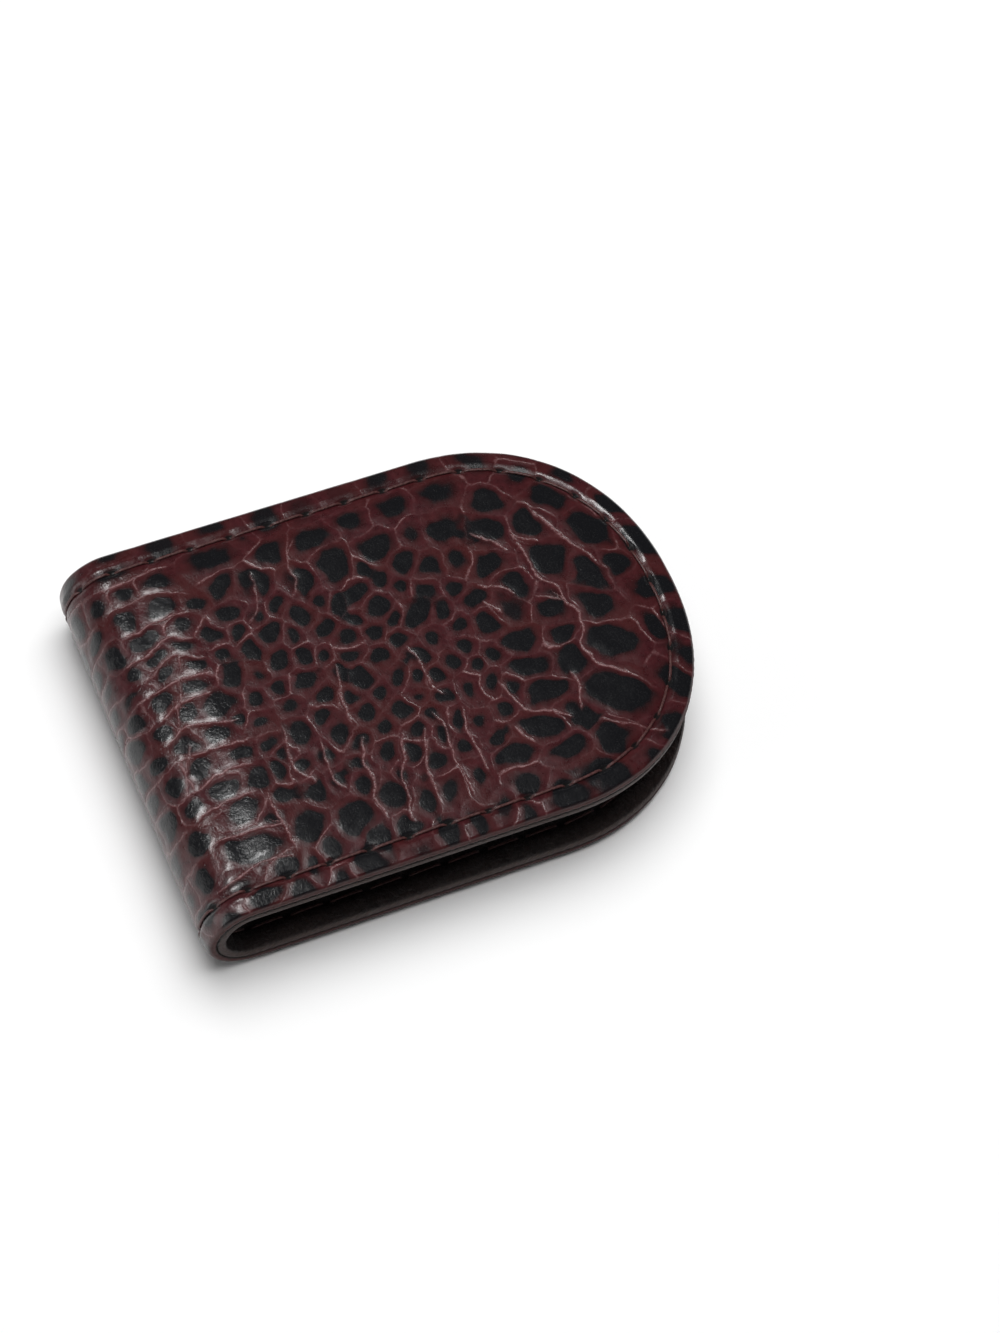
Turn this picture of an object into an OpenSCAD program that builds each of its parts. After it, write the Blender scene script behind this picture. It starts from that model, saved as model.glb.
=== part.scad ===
// Magnetic money clip: one leather strip folded into a U, magnets hidden in both ends.
// Frame: +X from the fold to the tips, +Y across the strip, +Z up, the lower panel's
// swell resting on z = 0. The strip is drawn held open by a stack of folded notes.

/* [Strip] */
// Width of the folded strip
strip_w = 48.8; // [44:0.2:54]
// Overall length, from the outside of the fold to the tips
clip_len = 65.4; // [60:0.2:74]
// Length of the rounded tip
tip_len = 22.5; // [18:0.5:26]
// Squareness of the rounded tip, where 2 is a plain ellipse
tip_squareness = 2.19; // [2:0.01:2.6]
// Outside height of the fold at the strip's edge
fold_h = 11.4; // [10.4:0.1:13]

/* [Leather] */
// Thickness of the embossed cover leather
cover_t = 1.2; // [1:0.1:1.4]
// Thickness of the lining leather
lining_t = 1.2; // [1:0.1:1.4]
// How far cover and lining each swell over the board
swell = 0.5; // [0.4:0.05:0.6]
// Distance from the strip's edge to the swell
swell_inset = 4.4; // [3.8:0.1:6]

/* [Board and magnets] */
// Distance from the strip's edge to the stiffening board
board_inset = 5.6; // [5.2:0.1:8]
// Length of each block magnet, along the clip
magnet_l = 20; // [12:1:22]
// Width of each block magnet, across the clip
magnet_w = 10; // [6:1:12]
// Distance from the tip to the near end of the magnets
magnet_tip = 11; // [9:0.5:16]
// Gap between the two magnets of one panel
magnet_gap = 3; // [2:0.5:6]

/* [Stitching] */
// Distance from the strip's edge to the stitch line
stitch_inset = 2.7; // [2.4:0.1:3.2]
// Distance from one needle hole to the next
stitch_pitch = 4.7; // [3:0.1:6]
// Thread diameter
thread_d = 0.44; // [0.36:0.02:0.46]
// Width of the pressed groove that the thread lies in
groove_w = 0.8; // [0.7:0.05:1]
// Depth of the pressed groove
groove_d = 0.46; // [0.46:0.02:0.56]

/* [Hidden] */

// fold: one half ring round an axis along Y, through (xc, zc)
r_out = fold_h / 2;
r_mid = r_out - cover_t;
r_in = r_mid - lining_t;
xc = r_out - clip_len / 2;
zc = swell + r_out;
// the strip bends on two lines, at 45 and 135 degrees round the fold
hinge_r = 1.11 * (r_out + r_in) / 2;
hinge_gap = 0.06;

tip_x = clip_len / 2;
tip_x0 = tip_x - tip_len;

// levels of the lower panel, from the floor up
z_cover = swell;
z_mid = z_cover + cover_t;
z_top = z_mid + lining_t;
board_t = 2 * swell;
board_z = z_mid - swell;
// where board and swell begin, past the end of the fold
swell_x = xc + 2.2;
board_x = xc + 3.4;

tip_steps = 44;
function spow(v, p) = (v < 0 ? -1 : 1) * pow(abs(v), p);
// points round the tip from the -Y side to the +Y side, at an inset from the edge
function tip_points(d) = [for (i = [0 : tip_steps])
    let (a = -90 + 180 * i / tip_steps)
    [tip_x0 + (tip_len - d) * spow(cos(a), 2 / tip_squareness),
     (strip_w / 2 - d) * spow(sin(a), 2 / tip_squareness)]];
// plan of a layer that starts at x = x1
function plan(d, x1) = concat([[x1, d - strip_w / 2]], tip_points(d), [[x1, strip_w / 2 - d]]);

module slab(d, x1, z, t) {
    translate([0, 0, z]) linear_extrude(height = t) polygon(plan(d, x1));
}

// groove along a panel's stitch line
module groove(z, t) {
    translate([0, 0, z]) linear_extrude(height = t) difference() {
        polygon(plan(stitch_inset - groove_w / 2, xc - 0.0));
        polygon(plan(stitch_inset + groove_w / 2, xc - 1));
    }
}

// direction at an angle round the fold: 0 is down, 90 points away from the tips
function dir(a) = [-sin(a), -cos(a)];
function across(a) = [-cos(a), sin(a)];

module along_y(w) { rotate([90, 0, 0]) linear_extrude(height = w, center = true) children(); }
module tube_y(r, w) { translate([xc, 0, zc]) rotate([90, 0, 0]) cylinder(r = r, h = w, center = true, $fn = 96); }

// part of a half ring between two angles
module ring(ri, ro, a, b, w) {
    c = [xc, zc];
    intersection() {
        difference() {
            tube_y(ro, w);
            tube_y(ri, w + 2);
        }
        along_y(w + 4) polygon([c, c + 12 * dir(a), c + 17 * dir((a + b) / 2), c + 12 * dir(b)]);
    }
}

// room for one bend line: closed up inside, opening at 92 degrees outside
module bend_room(a) {
    p = [xc, zc] + hinge_r * dir(a);
    u = dir(a);
    t = across(a);
    g = hinge_gap;
    gi = g + 4 * tan(2.2);
    go = g + 2 * tan(46);
    along_y(strip_w + 4) polygon([p - 4 * u - gi * t, p - g * t, p + 2 * u - go * t,
                                  p + 2 * u + go * t, p + g * t, p - 4 * u + gi * t]);
}

// ring grooves over the fold, in the outer or the inner face
module fold_grooves(ri, ro) {
    for (s = [-1, 1]) translate([xc, s * (strip_w / 2 - stitch_inset), zc]) rotate([90, 0, 0])
        difference() {
            cylinder(r = ro, h = groove_w, center = true, $fn = 96);
            cylinder(r = ri, h = groove_w + 2, center = true, $fn = 96);
        }
}

module panel_cover() {
    difference() {
        union() {
            slab(0, xc, z_cover, cover_t);
            slab(swell_inset, swell_x, 0, swell + 0.1);
            ring(r_mid, r_out, 0, 45, strip_w);
        }
        slab(board_inset, board_x, board_z, board_t);
        groove(z_cover - 0.3, groove_d + 0.3);
        fold_grooves(r_out - groove_d, r_out + 1);
        bend_room(45);
    }
}

module panel_lining() {
    difference() {
        union() {
            slab(0, xc, z_mid, lining_t);
            slab(swell_inset, swell_x, z_top - 0.1, swell + 0.1);
            ring(r_in, r_mid, 0, 45, strip_w);
        }
        slab(board_inset, board_x, board_z, board_t);
        groove(z_top - groove_d, groove_d + 0.3);
        fold_grooves(r_in - 1, r_in + groove_d);
        bend_room(45);
    }
}

module magnet_at(side, grow, z, t) {
    translate([tip_x - magnet_tip - magnet_l / 2, side * (magnet_gap + magnet_w) / 2, z + t / 2])
        cube([magnet_l + grow, magnet_w + grow, t], center = true);
}

module panel_board() {
    difference() {
        slab(board_inset, board_x, board_z, board_t);
        for (s = [-1, 1]) magnet_at(s, 0.1, board_z - 1, board_t + 2);
    }
}

// the stitch line of a panel: points, length so far, and the place at a length
line_points = concat([[xc, stitch_inset - strip_w / 2]], tip_points(stitch_inset), [[xc, strip_w / 2 - stitch_inset]]);
line_len = [for (i = 0, s = 0; i < len(line_points);
                 s = s + (i + 1 < len(line_points) ? norm(line_points[i + 1] - line_points[i]) : 0), i = i + 1) s];
line_total = line_len[len(line_len) - 1];
line_x = [for (i = [0 : len(line_points) - 1]) [line_len[i], line_points[i][0]]];
line_y = [for (i = [0 : len(line_points) - 1]) [line_len[i], line_points[i][1]]];
function line_at(s) = [lookup(s, line_x), lookup(s, line_y)];
stitches = round(line_total / stitch_pitch);
step = line_total / stitches;

// one straight stitch for each pair of holes along the panel
module panel_stitches(z) {
    for (i = [0 : stitches - 1]) {
        a = line_at((i + 0.13) * step);
        b = line_at((i + 0.87) * step);
        translate([a[0], a[1], z]) rotate([0, 0, atan2(b[1] - a[1], b[0] - a[0])]) rotate([0, 90, 0])
            cylinder(r = thread_d / 2, h = norm(b - a), $fn = 24);
    }
}

// one stitch over the fold, centred at an angle
module fold_stitches(r, angles) {
    for (a = angles, s = [-1, 1])
        translate([xc, s * (strip_w / 2 - stitch_inset), zc]) rotate([90, 0, 0])
            rotate([0, 0, 270 - a - 16]) rotate_extrude(angle = 32, $fn = 96)
                translate([r, 0]) circle(r = thread_d / 2, $fn = 24);
}

needle_r = r_out - groove_d + thread_d / 2;
bobbin_r = r_in + groove_d - thread_d / 2;
module panel_needle_thread() {
    panel_stitches(z_cover + groove_d - thread_d / 2);
    fold_stitches(needle_r, [22.5]);
}
module panel_bobbin_thread() {
    panel_stitches(z_top - groove_d + thread_d / 2);
    fold_stitches(bobbin_r, [22.5]);
}

// the upper panel is the lower one turned over about the fold's mid height
module flap() { translate([0, 0, 2 * zc]) mirror([0, 0, 1]) children(); }

cover_color = [0.24, 0.13, 0.14];
lining_color = [0.11, 0.07, 0.07];
thread_color = [0.13, 0.05, 0.06];
board_color = [0.55, 0.44, 0.32];
magnet_color = [0.78, 0.79, 0.8];

module back_cover() { color(cover_color) panel_cover(); }
module flap_cover() { color(cover_color) flap() panel_cover(); }
module spine_cover() {
    color(cover_color) difference() {
        ring(r_mid, r_out, 45, 135, strip_w);
        fold_grooves(r_out - groove_d, r_out + 1);
        bend_room(45);
        bend_room(135);
    }
}

module back_lining() { color(lining_color) panel_lining(); }
module flap_lining() { color(lining_color) flap() panel_lining(); }
module spine_lining() {
    color(lining_color) difference() {
        ring(r_in, r_mid, 45, 135, strip_w);
        fold_grooves(r_in - 1, r_in + groove_d);
        bend_room(45);
        bend_room(135);
    }
}

module back_board() { color(board_color) panel_board(); }
module flap_board() { color(board_color) flap() panel_board(); }

module back_rear_magnet() { color(magnet_color) magnet_at(1, 0, board_z, board_t); }
module back_front_magnet() { color(magnet_color) magnet_at(-1, 0, board_z, board_t); }
module flap_rear_magnet() { color(magnet_color) flap() magnet_at(1, 0, board_z, board_t); }
module flap_front_magnet() { color(magnet_color) flap() magnet_at(-1, 0, board_z, board_t); }

module back_needle_thread() { color(thread_color) panel_needle_thread(); }
module flap_needle_thread() { color(thread_color) flap() panel_needle_thread(); }
module spine_needle_thread() { color(thread_color) fold_stitches(needle_r, [67.5, 112.5]); }
module back_bobbin_thread() { color(thread_color) panel_bobbin_thread(); }
module flap_bobbin_thread() { color(thread_color) flap() panel_bobbin_thread(); }
module spine_bobbin_thread() { color(thread_color) fold_stitches(bobbin_r, [67.5, 112.5]); }

back_cover();
spine_cover();
flap_cover();
back_lining();
spine_lining();
flap_lining();
back_board();
flap_board();
back_rear_magnet();
back_front_magnet();
flap_rear_magnet();
flap_front_magnet();
back_needle_thread();
spine_needle_thread();
flap_needle_thread();
back_bobbin_thread();
spine_bobbin_thread();
flap_bobbin_thread();
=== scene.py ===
import math
import bpy
import numpy as np
from mathutils import Matrix, Vector


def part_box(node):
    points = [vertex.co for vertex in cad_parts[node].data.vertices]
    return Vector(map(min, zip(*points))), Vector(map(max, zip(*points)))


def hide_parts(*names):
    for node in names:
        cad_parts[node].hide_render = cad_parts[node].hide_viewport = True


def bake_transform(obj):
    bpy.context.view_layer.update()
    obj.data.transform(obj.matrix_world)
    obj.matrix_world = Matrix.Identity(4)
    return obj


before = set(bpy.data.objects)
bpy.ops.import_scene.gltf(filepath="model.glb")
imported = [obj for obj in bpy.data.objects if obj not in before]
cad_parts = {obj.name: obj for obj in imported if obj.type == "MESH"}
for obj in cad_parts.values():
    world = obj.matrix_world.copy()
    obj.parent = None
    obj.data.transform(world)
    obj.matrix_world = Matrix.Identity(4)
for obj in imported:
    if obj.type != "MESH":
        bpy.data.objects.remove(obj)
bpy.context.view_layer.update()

MM = 0.001

# ------------------------------------------------------------------ sizes, from the CAD model (mm)
lo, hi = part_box("flap_cover")
lo_s, hi_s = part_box("spine_cover")
W = (hi.y - lo.y) / MM                      # strip width
B = W / 2
X_TIP = hi.x / MM
X_OUT = lo_s.x / MM                         # outside of the fold
ZTOP = hi.z / MM
SWELL = 0.5
COVER_T = 1.2
LINING_T = 1.2
RO = (ZTOP - 2 * SWELL) / 2                 # outer radius of the fold at the strip's edge
RM = RO - COVER_T
RI = RM - LINING_T
XC = X_OUT + RO
ZC = ZTOP / 2
TIP_A, TIP_N = 22.5, 2.19
X_T0 = X_TIP - TIP_A
ARC = RO * math.pi / 2                      # strip length from mid spine to the end of the fold
FLAT = X_T0 - XC
S_T0 = ARC + FLAT
S_TIP = S_T0 + TIP_A
STITCH_IN = 2.7


# ------------------------------------------------------------------ small numeric helpers
def sstep(a, b, x):
    t = np.clip((np.asarray(x, float) - a) / (b - a), 0, 1)
    return t * t * (3 - 2 * t)


def gnoise(shape, px, seed):
    """Smooth noise of unit deviation with features about px pixels across."""
    r = np.random.default_rng(seed).standard_normal(shape)
    fy = np.fft.fftfreq(shape[0])[:, None]
    fx = np.fft.rfftfreq(shape[1])[None, :]
    g = np.exp(-2 * (math.pi * px * 0.4) ** 2 * (fx * fx + fy * fy))
    n = np.fft.irfft2(np.fft.rfft2(r) * g, s=shape)
    return (n - n.mean()) / n.std()


def blur(a, px):
    fy = np.fft.fftfreq(a.shape[0])[:, None]
    fx = np.fft.rfftfreq(a.shape[1])[None, :]
    g = np.exp(-2 * (math.pi * px) ** 2 * (fx * fx + fy * fy))
    return np.fft.irfft2(np.fft.rfft2(a) * g, s=a.shape)


# ------------------------------------------------------------------ the embossed scale pattern
# It lives on the flat strip: s runs along it (0 at the middle of the spine, + towards the flap's tip,
# - towards the lower panel's tip) and y runs across it, both in mm.
DS = 0.08
S0, Y0 = -(S_TIP + 0.6), -(B + 0.6)
NS = int((-2 * S0) / DS) + 1
NY = int((-2 * Y0) / DS) + 1


def cell_fields(s, y):
    """Cell length, width and angle at a place on the strip."""
    t = np.abs(s)
    yy = np.where(s >= 0, y, -y)
    fold = sstep(17, 10, t)
    spine = sstep(7, 3, t)
    tip = sstep(43, 53, t)
    rear = sstep(11, 17, yy) * (1 - 0.55 * spine)
    front = sstep(-11.5, -17, yy) * (1 - 0.4 * spine)
    d = 2.95 + 0.75 * fold + 2.3 * tip + 1.75 * rear * (1 - 0.7 * tip) + 0.95 * front * (1 - 0.5 * tip)
    core = (1 - fold) * (1 - tip) * (1 - rear) * (1 - front)
    k = (fold * 0.62 * np.exp(1j * 0)
         + core * 0.14 * np.exp(2j * math.radians(66))
         + rear * (1 - tip) * 0.14 * np.exp(2j * math.radians(60))
         + front * (1 - tip) * 0.24 * np.exp(2j * math.radians(82))
         + tip * (yy < 2) * 0.34 * np.exp(2j * math.radians(-38))
         + tip * (yy >= 2) * 0.26 * np.exp(2j * math.radians(-52)))
    asp = np.exp(np.abs(k))
    ang = np.angle(k) / 2
    ang = np.where(s >= 0, ang, -ang)
    return d * np.sqrt(asp), d / np.sqrt(asp), ang


# larger scales placed one by one on the flap: s, y, length, width, angle in degrees
BIG = [
    (11.5, -17.8, 7.0, 5.2, 0), (10.5, -23.2, 6.0, 2.6, 0), (12.0, -12.6, 4.6, 3.4, 8), (11.0, -9.2, 4.0, 2.8, 5),
    (58.5, -1.0, 5.4, 5.2, -40), (58.2, -6.6, 7.0, 5.0, -40), (56.2, -12.6, 9.0, 5.6, -34), (62.4, 8.6, 5.6, 4.6, -45),
    (63.2, 2.8, 4.2, 3.6, -40), (56.2, 6.2, 5.4, 4.4, -40), (56.0, 11.6, 4.6, 4.2, -50), (49.3, 8.0, 4.8, 3.8, 20),
    (48.5, -2.6, 4.8, 3.0, 5), (53.4, -3.9, 4.0, 2.6, 30), (48.5, -6.4, 5.6, 2.6, 5), (49.4, -9.9, 5.2, 3.6, 10),
    (46.5, -13.9, 5.0, 3.6, -25), (48.6, -17.6, 5.6, 3.4, 14), (53.6, -18.0, 5.0, 4.6, -50), (46.4, -23.0, 6.6, 3.6, 0),
    (19.5, 15.2, 4.2, 3.6, 30), (23.6, 14.8, 4.4, 3.6, 30), (28.5, 12.8, 4.0, 4.4, 0), (32.8, 13.9, 5.4, 3.6, 75),
    (38.5, 14.2, 4.6, 4.2, 20), (20.2, 19.7, 6.6, 4.4, 4), (26.6, 17.8, 5.0, 4.2, 60), (31.6, 18.0, 5.4, 4.4, 10),
    (36.6, 18.9, 4.6, 4.2, 80), (41.8, 19.4, 4.8, 4.4, 40), (47.4, 19.3, 5.8, 4.4, 30), (59.0, 14.4, 5.4, 4.2, -42),
    (52.4, 15.9, 4.4, 3.8, -30), (64.0, -6.2, 5.0, 3.0, -75), (63.6, -13.6, 5.6, 4.0, -60), (51.4, 3.9, 4.6, 3.6, -20),
    (28.2, -16.6, 4.2, 4.4, 0), (23.0, -18.0, 5.0, 4.0, 40), (17.6, -17.2, 4.6, 4.2, 0), (42.6, -16.6, 3.6, 4.4, 90),
]
# long creases of the flap, drawn one by one: strength, then points
LINES = [
    (1.0, [(49, 13), (50.5, 11), (52.5, 9)]),
    (1.0, [(53, 11.5), (54, 6), (55.5, 2), (56, -2), (55, -6.5), (55.5, -8.5), (58.5, -11), (61, -14)]),
    (0.9, [(53.3, 11.5), (54, 10), (56, 8.8)]),
    (0.8, [(56.3, 14.3), (58.5, 9.5), (60, 5.5), (61.5, 2.5)]),
    (0.9, [(46.8, 6), (48.3, 4.5), (51, 2.8)]),
    (0.7, [(46.5, 3), (47.2, 2), (48.5, 1.2)]),
    (0.7, [(52.5, 2.3), (54, 1.4), (55.5, 0)]),
    (1.0, [(44.3, -6.8), (45.2, -9), (46, -11), (49, -12.8), (50.5, -14.5)]),
    (0.9, [(52.3, -8), (52.6, -10.5), (52, -14)]),
    (0.9, [(43.8, -13), (45, -15.8)]),
    (0.7, [(53, -15.5), (56.5, -17.3), (60, -19)]),
    (1.0, [(35.8, -8.3), (36.3, -11), (35.8, -15.5), (36.6, -20)]),
    (1.0, [(38.9, -8.5), (38.7, -13.5), (39.3, -17.5)]),
    (0.8, [(31.8, -9), (31, -12.5), (29.4, -17.5), (29.3, -20.5)]),
    (0.8, [(33.6, -10), (33, -14.5), (32.6, -19.5)]),
    (0.9, [(27.2, -8.2), (26.4, -13), (26, -19.5)]),
    (0.7, [(22.9, -7), (22.6, -11), (23.4, -14.5)]),
    (1.0, [(15.3, -11.5), (15.1, -16), (15.5, -19.5)]),
    (0.6, [(19.3, -4), (19.2, -9.5), (20.4, -12.5)]),
    (0.6, [(27.9, 1), (27.2, -3.5), (26.6, -7)]),
    (0.5, [(24, 16), (22.2, 11.5), (20.5, 9)]),
    (0.5, [(29.8, 19), (27.6, 13.5), (26.4, 10)]),
    (0.6, [(36.6, 1), (37.3, -4), (38, -7)]),
    (0.5, [(9.5, -2), (7.6, -5.5), (6.8, -9)]),
    (0.5, [(11.5, 6), (10.2, 2.8), (9, -0.5)]),
]
# rows of scales that run round the fold, and the creases between them
ROWS = [20.6, 17.1, 13.7, 10.3, 7.6, 5.2, 2.3, -0.9, -4.2, -7.7, -11.3, -15.4, -20.0]


def row_line(i, s):
    """The crease under row i where it passes s: a low arch that peaks at the start of the flap."""
    y = ROWS[i]
    arch = 1.5 * np.exp(-((s - 11.5) / 4.2) ** 2) * (0.35 + 0.65 * sstep(18, 8, y))
    return y - 0.75 + arch + 0.30 * np.sin(0.55 * s + 2.1 * i) - 0.02 * s


def scale_pattern():
    rng = np.random.default_rng(41)
    seeds = []
    for (s, y, l, w, a) in BIG:
        seeds.append((s, y, l, w, math.radians(a)))
    for (s, y, l, w, a) in BIG[::2]:                       # a looser echo on the lower panel
        seeds.append((-s + 1.7, -y * 0.96, l, w, math.radians(a)))
    rr = np.random.default_rng(17)
    big = np.array(seeds)[:, :2]
    for i in range(len(ROWS) - 1):
        s = -10.5 + rr.uniform(0, 2)
        while s < 16.2:
            step = rr.uniform(3.2, 4.5)
            y0, y1 = row_line(i, s), row_line(i + 1, s)
            c = (s, (y0 + y1) / 2 + rr.normal(0, 0.12))
            if np.hypot(big[:, 0] - c[0], big[:, 1] - c[1]).min() > 3.0:
                slope = (row_line(i, s + 0.5) - row_line(i, s - 0.5))
                seeds.append((c[0], c[1], 1.12 * step, 1.05 * (y0 - y1), math.atan(slope)))
            s += step
    fixed = len(seeds)
    arr = np.array(seeds)
    n = 26000
    cs_ = rng.uniform(S0, -S0, n)
    cy_ = rng.uniform(Y0, -Y0, n)
    L, Wd, A = cell_fields(cs_, cy_)
    jit = rng.uniform(0.84, 1.16, n)
    L, Wd = L * jit, Wd * jit
    A = A + rng.normal(0, 0.22, n)
    P = np.zeros((3000, 5)); P[:fixed] = arr; m = fixed
    for i in range(n):
        dx = P[:m, 0] - cs_[i]; dy = P[:m, 1] - cy_[i]
        near = (np.abs(dx) < 8) & (np.abs(dy) < 8)
        if near.any():
            q = P[:m][near]
            dxx, dyy = dx[near], dy[near]
            c, sn = math.cos(A[i]), math.sin(A[i])
            d1 = np.hypot((dxx * c + dyy * sn) / L[i], (-dxx * sn + dyy * c) / Wd[i])
            c2, s2 = np.cos(q[:, 4]), np.sin(q[:, 4])
            d2 = np.hypot((dxx * c2 + dyy * s2) / q[:, 2], (-dxx * s2 + dyy * c2) / q[:, 3])
            if (0.5 * (d1 + d2)).min() < 0.83:
                continue
        P[m] = (cs_[i], cy_[i], L[i], Wd[i], A[i]); m += 1
    P = P[:m]

    def cells(px, py, gs, gy, colour=None):
        """Nearest and second nearest scale at every point; with colours also the best match on each side of
        the three colour bits, whose difference crosses zero exactly on the borders between scales."""
        shape = px.shape
        b1 = np.full(shape, 9.0, np.float32); b2 = np.full(shape, 9.0, np.float32)
        i1 = np.full(shape, -1, np.int32); i2 = np.full(shape, -1, np.int32)
        bits = None if colour is None else np.full((3, 2) + shape, 9.0, np.float32)
        for k, (s, y, l, w, a) in enumerate(P):
            h = 1.25 * max(l, w) + 0.8
            x0, x1 = np.searchsorted(gs, (s - h, s + h)); y0, y1 = np.searchsorted(gy, (y - h, y + h))
            if x1 <= x0 or y1 <= y0:
                continue
            sl = (slice(y0, y1), slice(x0, x1))
            dx = px[sl] - s; dy = py[sl] - y
            c, sn = math.cos(a), math.sin(a)
            d = np.hypot((dx * c + dy * sn) * (2 / l), (-dx * sn + dy * c) * (2 / w)).astype(np.float32)
            if colour is None:
                B1, B2, I1, I2 = b1[sl], b2[sl], i1[sl], i2[sl]
                first = d < B1
                second = (~first) & (d < B2)
                B2[first] = B1[first]; I2[first] = I1[first]
                B1[first] = d[first]; I1[first] = k
                B2[second] = d[second]; I2[second] = k
            else:
                for q in range(3):
                    v = bits[q, (colour[k] >> q) & 1][sl]
                    np.minimum(v, d, out=v)
        return b1, b2, i1, i2, bits

    # two passes that centre the free scales between their neighbours
    st = 0.3
    gs = np.arange(S0, -S0, st); gy = np.arange(Y0, -Y0, st)
    gx, gyy = np.meshgrid(gs, gy)
    for _ in range(2):
        b1, b2, i1, i2, _b = cells(gx, gyy, gs, gy)
        cnt = np.bincount(i1.ravel(), minlength=m).astype(float)
        sx = np.bincount(i1.ravel(), gx.ravel(), m); sy = np.bincount(i1.ravel(), gyy.ravel(), m)
        ok = cnt > 3; ok[:fixed] = False
        P[ok, 0] += 0.8 * (sx[ok] / cnt[ok] - P[ok, 0]); P[ok, 1] += 0.8 * (sy[ok] / cnt[ok] - P[ok, 1])

    gs = S0 + DS * np.arange(NS); gy = Y0 + DS * np.arange(NY)
    gx, gyy = np.meshgrid(gs, gy)
    shape = gx.shape
    px = gx + 0.24 * gnoise(shape, 30, 1) + 0.06 * gnoise(shape, 8, 2)
    py = gyy + 0.24 * gnoise(shape, 30, 3) + 0.06 * gnoise(shape, 8, 4)
    b1, b2, i1, i2, _b = cells(px, py, gs, gy)
    # colour the scales so that neighbours always differ in at least one of three bits
    touch = (b2 - b1) < 0.4
    pairs = np.unique(np.stack([np.minimum(i1, i2)[touch], np.maximum(i1, i2)[touch]], -1), axis=0)
    nb = [set() for _ in range(m)]
    for u, v in pairs:
        if u >= 0 and u != v:
            nb[u].add(v); nb[v].add(u)
    colour = -np.ones(m, int)
    for k in sorted(range(m), key=lambda q: -len(nb[q])):
        used = {colour[q] for q in nb[k]}
        free = [c for c in range(8) if c not in used] or [0]
        colour[k] = free[int(rng.integers(len(free)))]
    bits = cells(px, py, gs, gy, colour)[4]
    ic = ic0 = np.clip(i1, 0, m - 1)
    rad = (np.sqrt(P[:, 2] * P[:, 3]) / 2)[ic]
    F = [np.clip((bits[q, 0] - bits[q, 1]) * 0.5 * rad, -0.9, 0.9) for q in range(3)]
    e = (b2 - b1) * 0.5 * rad
    a_, b_ = np.minimum(i1, i2).astype(float), np.maximum(i1, i2).astype(float)
    pair = np.abs(np.sin(a_ * 12.9898 + b_ * 78.233) * 43758.5453) % 1.0
    joined = (pair < 0.07) & (ic0 >= fixed)
    strength = 0.06 + 0.94 * pair ** 3.2
    # drawn creases: signed distance to the nearest one and how deep it is there
    dl = np.full(shape, 9.0); sd = np.full(shape, 1.0); ls = np.zeros(shape)
    lines = [(w, p) for w, p in LINES]
    lines += [(w * 0.9, [(-s + 1.7, -y * 0.96) for s, y in p]) for w, p in LINES[::2]]
    rl = np.random.default_rng(23)
    for i in range(len(ROWS)):
        s0_, s1_ = rl.uniform(5.2, 7.2), rl.uniform(14.0, 16.4)
        lines.append((1.0 if i not in (1, 4) else 0.5, [(s, row_line(i, s)) for s in np.linspace(s0_, s1_, 7)]))
        s2_, s3_ = rl.uniform(-10, -7.5), s0_ - rl.uniform(0.3, 1.2)
        lines.append((0.55, [(s, row_line(i, s)) for s in np.linspace(s2_, s3_, 9)]))
    for w, p in lines:
        p = np.array(p, float)
        seg = np.hypot(*np.diff(p, axis=0).T); cum = np.concatenate([[0], np.cumsum(seg)])
        # a smooth curve through the points
        u = np.linspace(0, cum[-1], max(5, int(cum[-1] / 0.5)))
        q = np.stack([np.interp(u, cum, p[:, 0]), np.interp(u, cum, p[:, 1])], -1)
        for _ in range(3):
            q[1:-1] = 0.25 * q[:-2] + 0.5 * q[1:-1] + 0.25 * q[2:]
        for j in range(len(q) - 1):
            (ax, ay), (bx, by) = q[j], q[j + 1]
            h = 1.3
            x0, x1 = np.searchsorted(gs, (min(ax, bx) - h, max(ax, bx) + h)); y0, y1 = np.searchsorted(gy, (min(ay, by) - h, max(ay, by) + h))
            sl = (slice(y0, y1), slice(x0, x1))
            dx, dy = bx - ax, by - ay
            LL = dx * dx + dy * dy
            t = np.clip(((px[sl] - ax) * dx + (py[sl] - ay) * dy) / LL, 0, 1)
            ox, oy = px[sl] - ax - t * dx, py[sl] - ay - t * dy
            d = np.hypot(ox, oy)
            sgn = np.where(dx * oy - dy * ox >= 0, 1.0, -1.0)
            fade = np.minimum((j + t), (len(q) - 1 - j - t)) / (len(q) - 1)
            D, SD, LS = dl[sl], sd[sl], ls[sl]
            better = d < D
            D[better] = d[better]; SD[better] = (sgn * d)[better]
            LS[better] = (w * sstep(0.0, 0.16, fade))[better]
    ls = ls * sstep(0.95, 0.5, dl)
    sd = np.clip(sd, -1, 1)
    e = np.where(ls > 0.15, np.minimum(dl, e), e)
    mod = 0.75 + 0.32 * np.clip(gnoise(shape, 20, 5), -1.8, 1.8)
    strength = blur(strength * mod, 1.6)
    r_ = np.random.default_rng(9)
    tone = r_.uniform(0, 1, m)
    t_c = tone[ic]
    # faint veins, valleys and low domes
    swell = blur(0.055 + 0.022 * np.clip(rad - 1.4, 0, 1.6) + 0.02 * t_c, 5)
    dome = 1 - np.exp(-(e / (0.34 + 0.12 * rad)) ** 1.5)
    cr = np.maximum(strength * np.exp(-(e / 0.19) ** 2), ls * np.exp(-(dl / 0.22) ** 2))
    h = swell * dome - 0.060 * cr + 0.012 * gnoise(shape, 18, 12) + 0.005 * gnoise(shape, 6, 11) * sstep(0.1, 0.5, e)
    h = blur(h, 1.3)
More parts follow.
